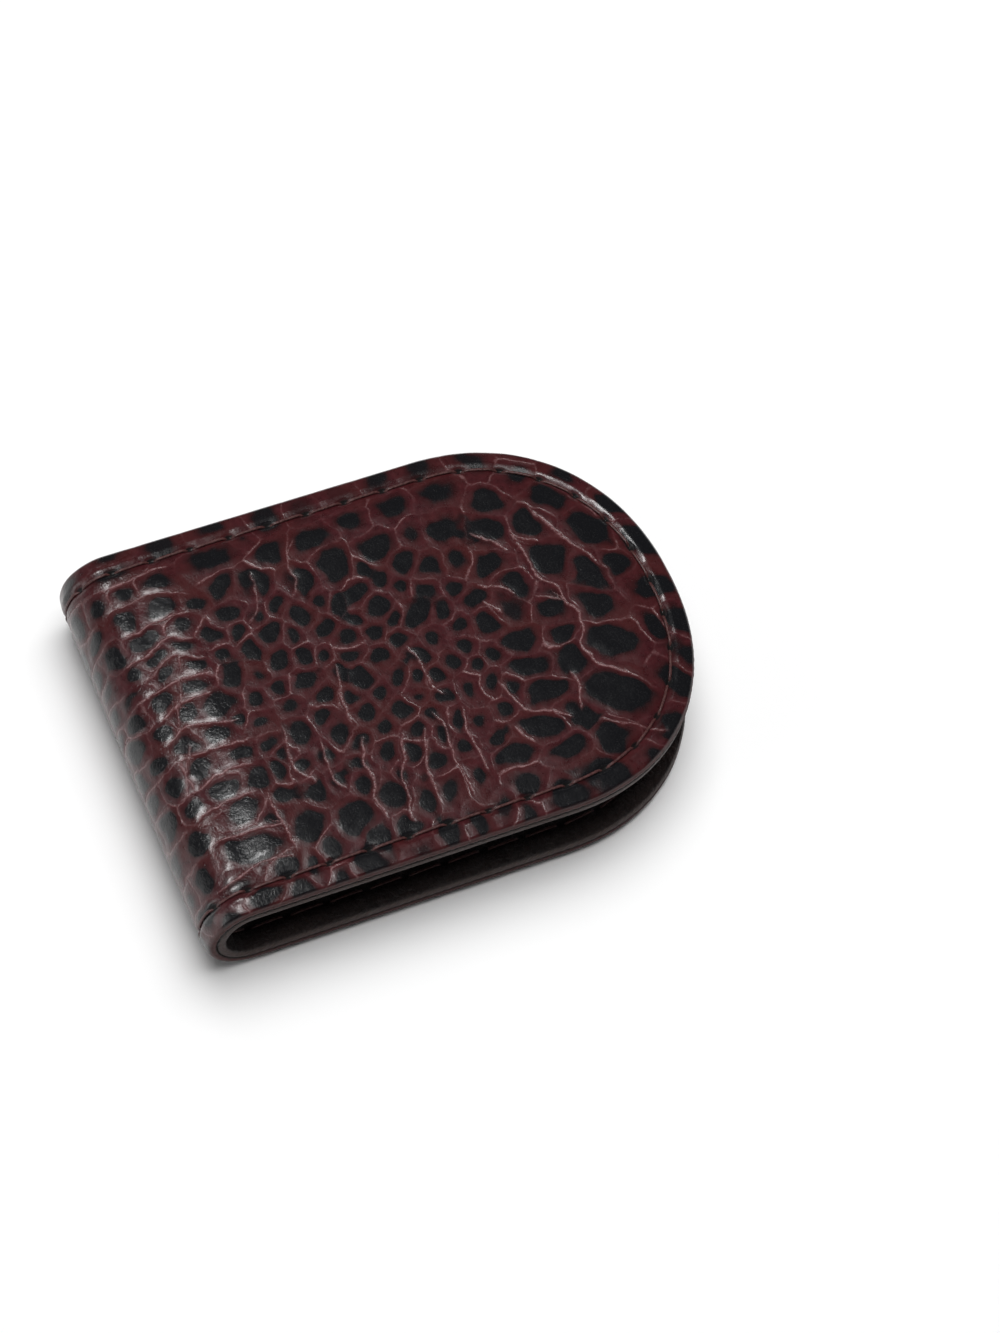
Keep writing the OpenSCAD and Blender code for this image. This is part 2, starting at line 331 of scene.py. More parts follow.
    # dark printed spots in the middle of the scales
    thr = np.where(r_.uniform(0, 1, m) < 0.10, r_.uniform(0.50, 0.66, m), r_.uniform(0.30, 0.42, m))
    faint = np.where(r_.uniform(0, 1, m) < 0.13, r_.uniform(0.45, 0.8, m), 1.0)
    thr[:len(big)] = 0.24; faint[:len(big)] = 1.0
    thr[len(big):fixed] = np.minimum(thr[len(big):fixed], 0.40)
    ratio = 0.5 * e / rad + 0.5 * (1 - b1) + 0.045 * gnoise(shape, 14, 13) + 0.015 * gnoise(shape, 6, 14)
    ratio = np.where(joined, np.maximum(ratio, 0.62 - 0.25 * b1 + 0.05 * gnoise(shape, 9, 15)), ratio)
    spot = np.clip(0.5 + (ratio - thr[ic]) / 0.5, 0, 1) * faint[ic]
    spot = blur(spot, 1.8)
    return h, np.clip(spot, 0, 1), F, sd, np.clip(strength, 0, 1.2), np.clip(ls, 0, 1.2), blur(t_c, 3)


HMAP, SPOT, NET, LINE_D, VEIN, LINE_S, TONE = scale_pattern()


def sample(img, s, y):
    fx = np.clip((np.asarray(s) - S0) / DS, 0, NS - 1.001); fy = np.clip((np.asarray(y) - Y0) / DS, 0, NY - 1.001)
    x0 = fx.astype(int); y0 = fy.astype(int); fx = fx - x0; fy = fy - y0
    return (img[y0, x0] * (1 - fx) * (1 - fy) + img[y0, x0 + 1] * fx * (1 - fy)
            + img[y0 + 1, x0] * (1 - fx) * fy + img[y0 + 1, x0 + 1] * fx * fy)


# ------------------------------------------------------------------ the strip's outline (half strip, s >= 0)
def tip_curve(theta, d=0.0):
    """Point and outward normal of the rounded tip, theta from -90 to 90 degrees."""
    c, s_ = np.cos(theta), np.sin(theta)
    p = 2 / TIP_N
    x = TIP_A * np.sign(c) * np.abs(c) ** p
    y = B * np.sign(s_) * np.abs(s_) ** p
    nx = np.sign(x) * np.abs(x / TIP_A) ** (TIP_N - 1) / TIP_A
    ny = np.sign(y) * np.abs(y / B) ** (TIP_N - 1) / B
    n = np.hypot(nx, ny)
    nx, ny = nx / n, ny / n
    return S_T0 + x - d * nx, y - d * ny, nx, ny


def outline():
    """Dense outline of the half strip from (0, -B) round the tip to (0, B): s, y, normal s, normal y, length so far."""
    th = np.linspace(-math.pi / 2, math.pi / 2, 6001)
    x, y, nx, ny = tip_curve(th)
    seg = np.concatenate([[0], np.cumsum(np.hypot(np.diff(x), np.diff(y)))])
    u = np.linspace(0, seg[-1], 1401)
    x, y, nx, ny = [np.interp(u, seg, v) for v in (x, y, nx, ny)]
    k = 700
    a = np.linspace(0, S_T0, k, endpoint=False)
    s = np.concatenate([a, x, a[::-1]])
    yy = np.concatenate([np.full(k, -B), y, np.full(k, B)])
    nn = np.concatenate([np.zeros(k), nx, np.zeros(k)])
    mm = np.concatenate([np.full(k, -1.0), ny, np.full(k, 1.0)])
    ln = np.concatenate([[0], np.cumsum(np.hypot(np.diff(s), np.diff(yy)))])
    return s, yy, nn, mm, ln


OS, OY, ON, OM, OL = outline()
TIP_LEN = OL[-1] - 2 * S_T0


def edge_distance(s, y):
    """Distance inside the outline, for points of the half strip."""
    s = np.abs(np.asarray(s, float)).ravel(); y = np.asarray(y, float).ravel()
    d = B - np.abs(y)
    m = s > S_T0 - 0.5
    if m.any():
        ss, yy = s[m], y[m]
        best = np.full(len(ss), 1e9)
        q = slice(690, 2110, 2)
        ax, ay = OS[q], OY[q]
        for i in range(0, len(ss), 20000):
            dd = (ss[i:i + 20000, None] - ax) ** 2 + (yy[i:i + 20000, None] - ay) ** 2
            best[i:i + 20000] = np.sqrt(dd.min(1))
        d[m] = np.minimum(best, d[m])
    return d


# stitch holes along the inset line: on the fold every 45 degrees, then evenly round the panel
def stitch_holes():
    th = np.linspace(-math.pi / 2, math.pi / 2, 3001)
    x, y, _, _ = tip_curve(th, STITCH_IN)
    s = np.concatenate([[ARC], x, [ARC]]); yy = np.concatenate([[y[0]], y, [y[-1]]])
    ln = np.concatenate([[0], np.cumsum(np.hypot(np.diff(s), np.diff(yy)))])
    n = round(ln[-1] / 4.7)
    u = np.linspace(0, ln[-1], n + 1)
    hs, hy = np.interp(u, ln, s), np.interp(u, ln, yy)
    f = [0.0, ARC / 2]
    hs = np.concatenate([f, hs, f[::-1]]); hy = np.concatenate([[-B + STITCH_IN] * 2, hy, [B - STITCH_IN] * 2])
    return hs, hy, (s, yy, ln)


HS, HY, SLINE = stitch_holes()
HT = np.stack([np.gradient(HS), np.gradient(HY)], -1)
HT /= np.linalg.norm(HT, axis=1)[:, None]


def near_stitch(s, y, d):
    """Distance from the nearest needle hole (1 on its rim) and how close the middle of a stitch is."""
    a = np.abs(s)
    hole = np.full(a.shape, 3.0); mid = np.zeros(a.shape)
    near = np.abs(d - STITCH_IN) < 2.2
    if near.any():
        ss, yy = a[near], y[near]
        hh = np.full(ss.shape, 3.0); mm = np.zeros(ss.shape)
        for i in range(len(HS)):
            tx, ty = HT[i]
            dx, dy = ss - HS[i], yy - HY[i]
            hh = np.minimum(hh, np.hypot((dx * tx + dy * ty) / 0.58, (-dx * ty + dy * tx) / 0.32))
            if i < len(HS) - 1:
                mx, my = (HS[i] + HS[i + 1]) / 2, (HY[i] + HY[i + 1]) / 2
                mm = np.maximum(mm, np.exp(-((ss - mx) ** 2 + (yy - my) ** 2) / 1.7 ** 2))
        hole[near] = hh; mid[near] = mm
    return hole, mid


def base_shape(s, y, d, inner=False):
    """Swell over the board, pressed stitch groove and the rolled margin outside it, in mm along the outward normal."""
    a = np.abs(s)
    h = SWELL * sstep(3.0, 6.4, d) * sstep(ARC + 0.2, ARC + 5.0, a)
    hole, mid = near_stitch(s, y, d)
    h = h - (0.10 if inner else 0.11) * np.exp(-((d - STITCH_IN) / 0.26) ** 2)
    h = h - (0.05 if inner else 0.10) * np.exp(-((d - STITCH_IN) / 0.85) ** 2)
    h = h + (0.02 if inner else 0.085) * (0.45 + 0.75 * mid) * np.exp(-((d - 1.85) / 0.36) ** 2)
    h = h + (0.01 if inner else 0.03) * np.exp(-((d - 3.5) / 0.4) ** 2)
    h = h - (0.06 if inner else 0.24) * sstep(1.9, 0.0, d)
    h = h - (0.12 if inner else 0.30) * np.exp(-(hole / 1.05) ** 2)
    return h, hole


def place(s, y, h, radius):
    """Row-frame position, in mm, of strip place (s, y) at a height above the surface of that radius round the fold."""
    a = np.abs(s)
    phi = np.clip(a / RO, 0, math.pi / 2)
    sgn = np.where(s >= 0, 1.0, -1.0)
    r = radius + h
    x = XC - r * np.cos(phi) + np.maximum(a - ARC, 0)
    z = ZC + sgn * r * np.sin(phi)
    return np.stack([x, y, z], -1)


# ------------------------------------------------------------------ half-strip meshes
def resample(s, y, nn, mm, ln, u):
    return [np.interp(u, ln, v) for v in (s, y, nn, mm)]


def half_strip(name, side, n_side, n_right, rim, outer, thickness, coarse, height):
    """One closed half of a leather layer. side is +1 for the flap and -1 for the lower panel; outer tells
    which face is the seen one. height(s, y, d) gives the seen face's relief and its masks."""
    total = OL[-1]
    corner = S_T0 + TIP_LEN * 0.26
    d0 = rim[0]
    u_b = np.linspace(0, corner, n_side + 1)
    u_r = np.linspace(corner, total - corner, n_right + 1)
    u_t = np.linspace(total - corner, total, n_side + 1)
    u = np.concatenate([u_b, u_r[1:], u_t[1:]])
    s, y, ns, ny = resample(OS, OY, ON, OM, OL, u)
    nl = np.hypot(ns, ny); ns, ny = ns / nl, ny / nl
    m = len(u)
    bs, by = s - d0 * ns, y - d0 * ny
    nb = n_side + 1
    Bp = np.stack([bs[:nb], by[:nb]], -1)
    Rp = np.stack([bs[nb - 1:nb + n_right], by[nb - 1:nb + n_right]], -1)
    Tp = np.stack([bs[nb - 1 + n_right:], by[nb - 1 + n_right:]], -1)[::-1]
    Lp = np.stack([np.zeros(n_right + 1), np.linspace(Bp[0, 1], Tp[0, 1], n_right + 1)], -1)
    U = np.linspace(0, 1, n_side + 1)[:, None, None]; V = np.linspace(0, 1, n_right + 1)[None, :, None]
    G = ((1 - V) * Bp[:, None] + V * Tp[:, None] + (1 - U) * Lp[None] + U * Rp[None]
         - (1 - U) * (1 - V) * Bp[0] - U * (1 - V) * Bp[-1] - (1 - U) * V * Tp[0] - U * V * Tp[-1])
    G[:, 0] = Bp; G[:, -1] = Tp; G[0] = Lp; G[-1] = Rp
    nu, nv = n_side + 1, n_right + 1
    gs_, gy_ = G[..., 0].ravel(), G[..., 1].ravel()
    gd = edge_distance(gs_, gy_)
    gid = np.arange(nu * nv).reshape(nu, nv)
    ring0 = np.concatenate([gid[:, 0], gid[-1, 1:], gid[:-1, -1][::-1]])
    S_, Y_, D_ = [gs_], [gy_], [gd]
    level = [np.zeros(nu * nv)]                 # 0 seen face, then down the edge in mm
    rings = [ring0]
    start = nu * nv
    rr = 0.42 if outer else 0.3
    for dd in rim[1:]:
        S_.append(s - dd * ns); Y_.append(y - dd * ny); D_.append(np.full(m, dd))
        drop = rr - math.sqrt(max(rr * rr - max(rr - dd, 0) ** 2, 0))
        level.append(np.full(m, drop)); rings.append(start + np.arange(m)); start += m
    for drop, dd in ((0.55 * thickness, -0.03), (thickness - 0.16, -0.02), (thickness - 0.02, 0.14)):
        S_.append(s - dd * ns); Y_.append(y - dd * ny); D_.append(np.zeros(m))
        level.append(np.full(m, drop)); rings.append(start + np.arange(m)); start += m
    S_, Y_, D_, level = [np.concatenate(v) for v in (S_, Y_, D_, level)]
    top_count = nu * nv + m * (len(rim) - 1)
    sg = S_ * side
    hh, masks = height(sg, Y_, D_)
    is_edge = np.zeros(len(S_)); is_edge[top_count:] = 1
    is_edge[nu * nv:top_count] = sstep(0.0, rr, level[nu * nv:top_count])
    rel = np.where(np.arange(len(S_)) < top_count, 1.0, 0.0)
    last = hh[nu * nv + m * (len(rim) - 2): top_count]       # relief carried into the edge, fading down
    hfull = hh * rel
    for k, f in enumerate((0.5, 0.1, 0.0)):
        a0 = top_count + k * m
        hfull[a0:a0 + m] = last * f
    # a cut leather edge is slightly rough
    rough = 0.018 * np.sin(sg[top_count:] * 5.1 + Y_[top_count:] * 4.3) + 0.014 * np.sin(sg[top_count:] * 11.7 - Y_[top_count:] * 9.1 + level[top_count:] * 7)
    ex = np.tile(ns, 3) * rough; ey = np.tile(ny, 3) * rough
    S2, Y2 = S_.copy(), Y_.copy()
    S2[top_count:] += ex; Y2[top_count:] += ey
    out = 1.0 if outer else -1.0
    radius = RO if outer else RI
    pos = place(np.where(side > 0, 1, -1) * np.maximum(S2, 1e-9), Y2, out * (hfull - level), radius)
    faces = []
    a = gid[:-1, :-1].ravel(); b = gid[1:, :-1].ravel(); c = gid[1:, 1:].ravel(); d_ = gid[:-1, 1:].ravel()
    quads = [np.stack([a, b, c, d_], -1)]
    for r0, r1 in zip(rings[:-1], rings[1:]):
        quads.append(np.stack([r0[:-1], r1[:-1], r1[1:], r0[1:]], -1))
    quads = np.concatenate(quads)
    # hidden face: a coarse grid that shares the last ring, with extra points on its border
    cu, cv = n_side // coarse, n_right // coarse
    ci = np.arange(0, nu, coarse); cj = np.arange(0, nv, coarse)
    inner_ring = rings[-1]
    bid = -np.ones((cu + 1, cv + 1), int)
    bid[:, 0] = inner_ring[:nb][::coarse]
    bid[-1, :] = inner_ring[nb - 1:nb + n_right][::coarse]
    bid[:, -1] = inner_ring[nb - 1 + n_right:][::-1][::coarse]
    free = np.argwhere(bid < 0)
    bs2 = G[ci][:, cj][free[:, 0], free[:, 1]]
    bd = edge_distance(bs2[:, 0], bs2[:, 1])
    hb = SWELL * sstep(3.6, 6.0, bd) * sstep(ARC + 1.0, ARC + 4.6, bs2[:, 0])
    rb = RM
    pb = place(np.where(side > 0, 1, -1) * np.maximum(bs2[:, 0], 1e-9), bs2[:, 1], out * (hb + 0.02), rb)
    bid[free[:, 0], free[:, 1]] = len(pos) + np.arange(len(free))
    allpos = np.concatenate([pos, pb])
    bs_all = np.concatenate([S2, bs2[:, 0]]); by_all = np.concatenate([Y2, bs2[:, 1]])
    poly = []
    for i in range(cu):
        for j in range(cv):
            loop = [bid[i, j]]
            if j == 0:
                loop += list(inner_ring[i * coarse + 1:(i + 1) * coarse])
            loop.append(bid[i + 1, j])
            if i == cu - 1:
                loop += list(inner_ring[nb - 1 + j * coarse + 1: nb - 1 + (j + 1) * coarse])
            loop.append(bid[i + 1, j + 1])
            if j == cv - 1:
                top = inner_ring[nb - 1 + n_right:][::-1]
                loop += list(top[i * coarse + 1:(i + 1) * coarse][::-1])
            loop.append(bid[i, j + 1])
            poly.append(loop[::-1])
    # cap at the middle of the spine
    capA = [gid[0, j] for j in range(nv)]
    sideA = [r[0] for r in rings[1:]]
    sideB = [r[-1] for r in rings[1:]]
    low = [bid[0, j] for j in range(cv + 1)]
    cap_loop = capA[::-1] + sideA + low[1:-1] + sideB[::-1]
    cap_pos = allpos[cap_loop]
    cap_ids = len(allpos) + np.arange(len(cap_loop))
    allpos = np.concatenate([allpos, cap_pos])
    cap_n = len(cap_loop)
    polys = [list(q) for q in quads.tolist()] + poly + [list(cap_ids)[::-1]]
    flip = (side > 0) != bool(outer)
    me = bpy.data.meshes.new(name)
    sizes = np.array([len(p) for p in polys])
    flat = np.fromiter((v for p in polys for v in (p if not flip else p[::-1])), dtype=np.int32, count=int(sizes.sum()))
    me.vertices.add(len(allpos)); me.vertices.foreach_set("co", (allpos * MM).astype(np.float32).ravel())
    me.loops.add(len(flat)); me.loops.foreach_set("vertex_index", flat)
    me.polygons.add(len(polys))
    me.polygons.foreach_set("loop_start", np.concatenate([[0], np.cumsum(sizes)[:-1]]).astype(np.int32))
    me.update(calc_edges=True)
    me.validate()
    me.polygons.foreach_set("use_smooth", np.ones(len(me.polygons), bool))
    # masks and strip coordinates
    nall = len(allpos)
    k = len(S_)
    zero = np.zeros(k)

    def attribute(title, *columns):
        mk = np.zeros((nall, 4), np.float32)
        for i, c in enumerate(columns):
            mk[:k, i] = c
        if title == "mask":
            mk[k:, 1] = 1; mk[k:, 2] = 3
        if title == "net":
            mk[k:] = 1
        at = me.color_attributes.new(title, "FLOAT_COLOR", "POINT")
        at.data.foreach_set("color", mk.ravel())
    attribute("mask", masks.get("spot", zero), is_edge, masks["hole"], masks.get("vein", zero))
    attribute("mask2", masks.get("line", zero), masks.get("tone", zero), level / thickness, zero)
    if "net" in masks:
        attribute("net", *masks["net"].T)
    uvv = np.zeros((nall, 2)); uvv[:, 0] = 0.5; uvv[:, 1] = 0.5
    kk = len(bs_all)
    shift = np.concatenate([np.where(is_edge > 0, level, 0), np.zeros(kk - k)])
    uvv[:kk, 0] = 0.5 + (bs_all + shift) * side / 160; uvv[:kk, 1] = 0.5 + (by_all + shift * 0.7) / 160
    uvv[kk:] = uvv[cap_loop]
    li = np.zeros(len(me.loops), np.int32); me.loops.foreach_get("vertex_index", li)
    uvl = me.uv_layers.new(name="strip")
    uvl.data.foreach_set("uv", uvv[li].astype(np.float32).ravel())
    ob = bpy.data.objects.new(name, me)
    bpy.context.scene.collection.objects.link(ob)
    # normals along the mid-spine line come from the relief on both sides of it
    buf = np.zeros(nall * 3, np.float32); me.vertex_normals.foreach_get("vector", buf); norm = buf.reshape(-1, 3).astype(float)
    seam = gid[0]
    yy = gy_[seam]
    e_ = 0.12

    def surf(ss, y2):
        dd = B - np.abs(y2)
        h2, _ = height(ss, y2, dd)
        return place(ss, y2, out * h2, radius)
    ps = surf(np.full(len(yy), e_), yy) - surf(np.full(len(yy), -e_), yy)
    py2 = surf(np.full(len(yy), 1e-6), yy + e_) - surf(np.full(len(yy), 1e-6), yy - e_)
    nn_ = np.cross(ps, py2); nn_ /= np.linalg.norm(nn_, axis=1)[:, None]
    ref = np.tile(np.array([[-out, 0, 0]]), (len(yy), 1))
    nn_ *= np.sign((nn_ * ref).sum(1))[:, None]
    norm[seam] = nn_
    norm[cap_ids] = np.array([0, 0, -1.0 * side])
    me.normals_split_custom_set_from_vertices(norm.tolist())
    return ob


def cover_height(s, y, d):
    h, hole = base_shape(s, y, d)
    k = sstep(0.0, 0.5, d)
    groove = np.exp(-((d - STITCH_IN) / 0.42) ** 2)
    h = h + sample(HMAP, s, y) * (0.4 + 0.6 * k) * (1 - 0.5 * groove)
    m = {"spot": sample(SPOT, s, y), "hole": hole, "vein": sample(VEIN, s, y) * (1 - 0.6 * groove),
         "line": sample(LINE_S, s, y) * (1 - 0.6 * groove) * k, "tone": sample(TONE, s, y),
         "net": np.stack([sample(NET[0], s, y), sample(NET[1], s, y), sample(NET[2], s, y), sample(LINE_D, s, y)], -1)}
    return h, m


WR = gnoise((NY // 4, NS // 4), 6, 31)
WR2 = gnoise((NY // 4, NS // 4), 14, 33)


def sample4(img, s, y):
    fx = np.clip((np.asarray(s) - S0) / (DS * 4), 0, img.shape[1] - 1.001); fy = np.clip((np.asarray(y) - Y0) / (DS * 4), 0, img.shape[0] - 1.001)
    x0 = fx.astype(int); y0 = fy.astype(int); fx = fx - x0; fy = fy - y0
    return (img[y0, x0] * (1 - fx) * (1 - fy) + img[y0, x0 + 1] * fx * (1 - fy) + img[y0 + 1, x0] * (1 - fx) * fy + img[y0 + 1, x0 + 1] * fx * fy)


def lining_height(s, y, d):
    h, hole = base_shape(s, y, d, inner=True)
    a = np.abs(s)
    infold = sstep(ARC + 1.5, ARC - 3.5, a)
    # soft wrinkles that run along the fold, where the lining is squeezed
    ph = s * 2.5 + 1.1 * sample4(WR2, s, y * 0.6)
    wr = np.abs(np.sin(ph)) ** 0.8 - 0.6
    h = h + 0.16 * infold * wr * (0.65 + 0.35 * np.clip(sample4(WR2, s * 0.3 + 5, y * 0.8), -1.5, 1.5)) + 0.015 * sample4(WR2, s, y) + 0.006 * sample4(WR, s, y)
    # painted shade: the wrinkle valleys are marked here so the lining is painted darker in them
    c = np.clip(infold * (0.5 - wr), 0, 1)
    return h, {"line": c, "hole": hole}


N_SIDE, N_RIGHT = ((320, 248))
RIM = [1.0, 0.74, 0.52, 0.35, 0.22, 0.12, 0.05, 0.0]
cover_flap = half_strip("cover_leather_flap_half", 1, N_SIDE, N_RIGHT, RIM, True, COVER_T, 4, cover_height)
cover_back = half_strip("cover_leather_back_half", -1, N_SIDE, N_RIGHT, RIM, True, COVER_T, 4, cover_height)
RIM2 = [0.8, 0.4, 0.2, 0.08, 0.0]
lining_flap = half_strip("lining_leather_flap_half", 1, 192, 144, RIM2, False, LINING_T, 4, lining_height)
lining_back = half_strip("lining_leather_back_half", -1, 192, 144, RIM2, False, LINING_T, 4, lining_height)


# ------------------------------------------------------------------ stitching
def thread_piece(name, side, outer):
    """Every stitch of one half strip: a laid, three-ply thread between two holes, its ends diving into them."""
    verts, faces = [], []
    sides, rings = 12, 27
    ls, lyv, ll = SLINE
    r0 = 0.16 if outer else 0.15
    radius = RO if outer else RI
    out = 1.0 if outer else -1.0
    rng = np.random.default_rng(5 if outer else 6)
    n_h = len(HS)
    for i in range(n_h - 1):
        a = np.array([HS[i], HY[i]]); b = np.array([HS[i + 1], HY[i + 1]])
        t = np.linspace(0, 1, rings)
        c = a[None] * (1 - t)[:, None] + b[None] * t[:, None]
        # round the tip the thread follows a shallow arc between its holes
        mid = (a + b) / 2
        if mid[0] > S_T0 - 1 and np.linalg.norm(b - a) > 1:
            dmid = edge_distance(np.array([mid[0]]), np.array([mid[1]]))[0] - STITCH_IN
            ctr = np.array([S_T0, 0.0]); o = (mid - ctr) / (np.linalg.norm(mid - ctr) + 1e-9)
            c = c + o[None] * (4 * t * (1 - t))[:, None] * dmid * 0.85
        slant = 0.09 * (1 if i % 2 == 0 else 1) * (t - 0.5) * 2
        tang = (b - a) / (np.linalg.norm(b - a) + 1e-9)
        nrm = np.array([-tang[1], tang[0]])
        c = c + nrm[None] * slant[:, None]
        length = np.linalg.norm(b - a)
        end = np.minimum(t, 1 - t) * length
        h = (-0.19 if outer else -0.13) + r0 * 0.80 - 0.70 * np.exp(-(end / 0.50) ** 2) + 0.03 * np.sin(np.pi * t) + rng.normal(0, 0.006)
        sg = side * np.maximum(c[:, 0], 1e-6)
        p = place(sg, c[:, 1], out * h, radius)
        # frame along the stitch
        tan = np.gradient(p, axis=0); tan /= np.linalg.norm(tan, axis=1)[:, None]
        phi = np.clip(np.abs(sg) / RO, 0, math.pi / 2)
        up = np.stack([-np.cos(phi), np.zeros(rings), side * np.sin(phi)], -1) * out
        sid = np.cross(tan, up); sid /= np.linalg.norm(sid, axis=1)[:, None]
        up = np.cross(sid, tan)
        base = len(verts)
        ang = np.linspace(0, 2 * math.pi, sides, endpoint=False)
        tw = 2 * math.pi * (t * length) / 1.5
        for k in range(rings):
            lobes = 1 + 0.13 * np.cos(3 * (ang - tw[k]))
            rad = r0 * lobes
            q = p[k] + np.cos(ang)[:, None] * sid[k] * rad[:, None] * 1.08 + np.sin(ang)[:, None] * up[k] * rad[:, None] * 0.86
            verts.extend(q.tolist())
        for k in range(rings - 1):
            for j in range(sides):
                j2 = (j + 1) % sides
                faces.append([base + k * sides + j, base + k * sides + j2, base + (k + 1) * sides + j2, base + (k + 1) * sides + j])
        faces.append([base + j for j in range(sides)][::-1])
        faces.append([base + (rings - 1) * sides + j for j in range(sides)])
    me = bpy.data.meshes.new(name)
    me.from_pydata((np.array(verts) * MM).tolist(), [], faces)
    me.update()
    import bmesh
    bm = bmesh.new(); bm.from_mesh(me); bmesh.ops.recalc_face_normals(bm, faces=bm.faces); bm.to_mesh(me); bm.free()
    me.polygons.foreach_set("use_smooth", np.ones(len(me.polygons), bool))
    ob = bpy.data.objects.new(name, me)
    bpy.context.scene.collection.objects.link(ob)
    return ob


needle_flap = thread_piece("needle_thread_flap_half", 1, True)
needle_back = thread_piece("needle_thread_back_half", -1, True)
bobbin_flap = thread_piece("bobbin_thread_flap_half", 1, False)
bobbin_back = thread_piece("bobbin_thread_back_half", -1, False)


# ------------------------------------------------------------------ materials
class Tree:
    def __init__(self, name):
        self.m = bpy.data.materials.new(name)
        self.m.use_nodes = True
        self.t = self.m.node_tree
        self.b = self.t.nodes["Principled BSDF"]

    def n(self, kind, **kw):
        node = self.t.nodes.new(kind)
        for k, v in kw.items():
            if k.startswith("i_"):
                node.inputs[k[2:].replace("_", " ")].default_value = v
            else:
                setattr(node, k, v)
        return node

    def link(self, a, b):
        self.t.links.new(a, b)

    def math(self, op, a, b=None, c=None, clamp=False):
        n = self.n("ShaderNodeMath", operation=op, use_clamp=clamp)
        for i, v in enumerate((a, b, c)):
            if v is None:
                continue
            if isinstance(v, (int, float)):
                n.inputs[i].default_value = v
            else:
                self.link(v, n.inputs[i])
        return n.outputs[0]

    def mix(self, f, a, b, blend="MIX"):
        n = self.n("ShaderNodeMix", data_type="RGBA", blend_type=blend)
        for i, v in ((0, f), (6, a), (7, b)):
            if isinstance(v, (int, float)):
                n.inputs[i].default_value = v
            elif isinstance(v, tuple):
                n.inputs[i].default_value = v
            else:
                self.link(v, n.inputs[i])
        return n.outputs[2]

    def ramp(self, f, a, b, lo_=0.0, hi_=1.0):
        n = self.n("ShaderNodeMapRange", interpolation_type="SMOOTHSTEP")
        self.link(f, n.inputs["Value"])
        n.inputs["From Min"].default_value = a; n.inputs["From Max"].default_value = b
        n.inputs["To Min"].default_value = lo_; n.inputs["To Max"].default_value = hi_
        return n.outputs["Result"]

    def strip_coords(self, sx=1.0, sy=1.0):
        """Strip coordinates in mm, stretched by sx and sy."""
        uv = self.n("ShaderNodeUVMap", uv_map="strip")
        mp = self.n("ShaderNodeVectorMath", operation="MULTIPLY")
        self.link(uv.outputs[0], mp.inputs[0])
        mp.inputs[1].default_value = (160 * sx, 160 * sy, 0)
        return mp.outputs[0]

    def noise(self, vec, scale, detail=3.0, rough=0.55, dist=0.0):
        n = self.n("ShaderNodeTexNoise")
        self.link(vec, n.inputs["Vector"])
        n.inputs["Scale"].default_value = scale; n.inputs["Detail"].default_value = detail
        n.inputs["Roughness"].default_value = rough; n.inputs["Distortion"].default_value = dist
        return n.outputs[0]

    def voronoi(self, vec, scale, feature="DISTANCE_TO_EDGE"):
        n = self.n("ShaderNodeTexVoronoi", feature=feature)
        self.link(vec, n.inputs["Vector"]); n.inputs["Scale"].default_value = scale
        return n.outputs[0]

    def bump(self, h, strength, dist_mm, normal=None):
        n = self.n("ShaderNodeBump")
        n.inputs["Strength"].default_value = strength; n.inputs["Distance"].default_value = dist_mm * MM
        self.link(h, n.inputs["Height"])
        if normal is not None:
            self.link(normal, n.inputs["Normal"])
        return n.outputs[0]

    def mask(self, name="mask"):
        a = self.n("ShaderNodeAttribute", attribute_name=name)
        sp = self.n("ShaderNodeSeparateColor")
        self.link(a.outputs["Color"], sp.inputs[0])
        return sp.outputs[0], sp.outputs[1], sp.outputs[2], a.outputs["Alpha"]


def rgb(r, g, b):
    return (r, g, b, 1.0)


